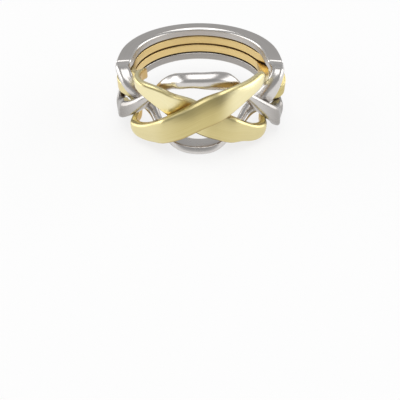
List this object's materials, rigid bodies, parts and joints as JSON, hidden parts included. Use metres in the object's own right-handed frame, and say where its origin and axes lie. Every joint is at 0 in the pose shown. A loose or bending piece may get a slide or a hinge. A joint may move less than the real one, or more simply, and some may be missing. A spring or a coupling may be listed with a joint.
{
  "type": "metal ring disentanglement puzzle",
  "caption": "Woven ring puzzle of interlinked silver and gold coloured metal bands: flat shanks stack into one ring at the back and fan apart about the braided front.",
  "frame": {"origin": "under the middle of the box, at the lowest point of the woven front", "axes": "+Z along the axis of the finger bore, -Y through the middle of the woven front, +X to the right as the front is seen"},
  "size_m": [0.0384, 0.038, 0.017],
  "materials": {
    "nickel": "satin nickel plate on the shanks, polished on the woven strands",
    "brass": "satin pale gold plate with bright rounded edges"
  },
  "bodies": {
    "lower_silver": {"lower_silver_band": "nickel"},
    "lower_gold": {"lower_gold_band": "brass"},
    "upper_gold": {"upper_gold_band": "brass"},
    "upper_silver": {"upper_silver_band": "nickel"}
  },
  "joints": [
    {"name": "lower_gold_fan", "type": "hinge", "parent": "lower_silver", "child": "lower_gold", "pos_m": [-0.00034, -0.01184, 0.0093], "axis": [1, 0, 0], "range_deg": [0, 12]},
    {"name": "upper_gold_fan", "type": "hinge", "parent": "lower_gold", "child": "upper_gold", "pos_m": [-0.00034, -0.01184, 0.0093], "axis": [1, 0, 0], "range_deg": [0, 10]},
    {"name": "upper_silver_fan", "type": "hinge", "parent": "upper_gold", "child": "upper_silver", "pos_m": [-0.00034, -0.01184, 0.0093], "axis": [1, 0, 0], "range_deg": [0, 8]}
  ]
}
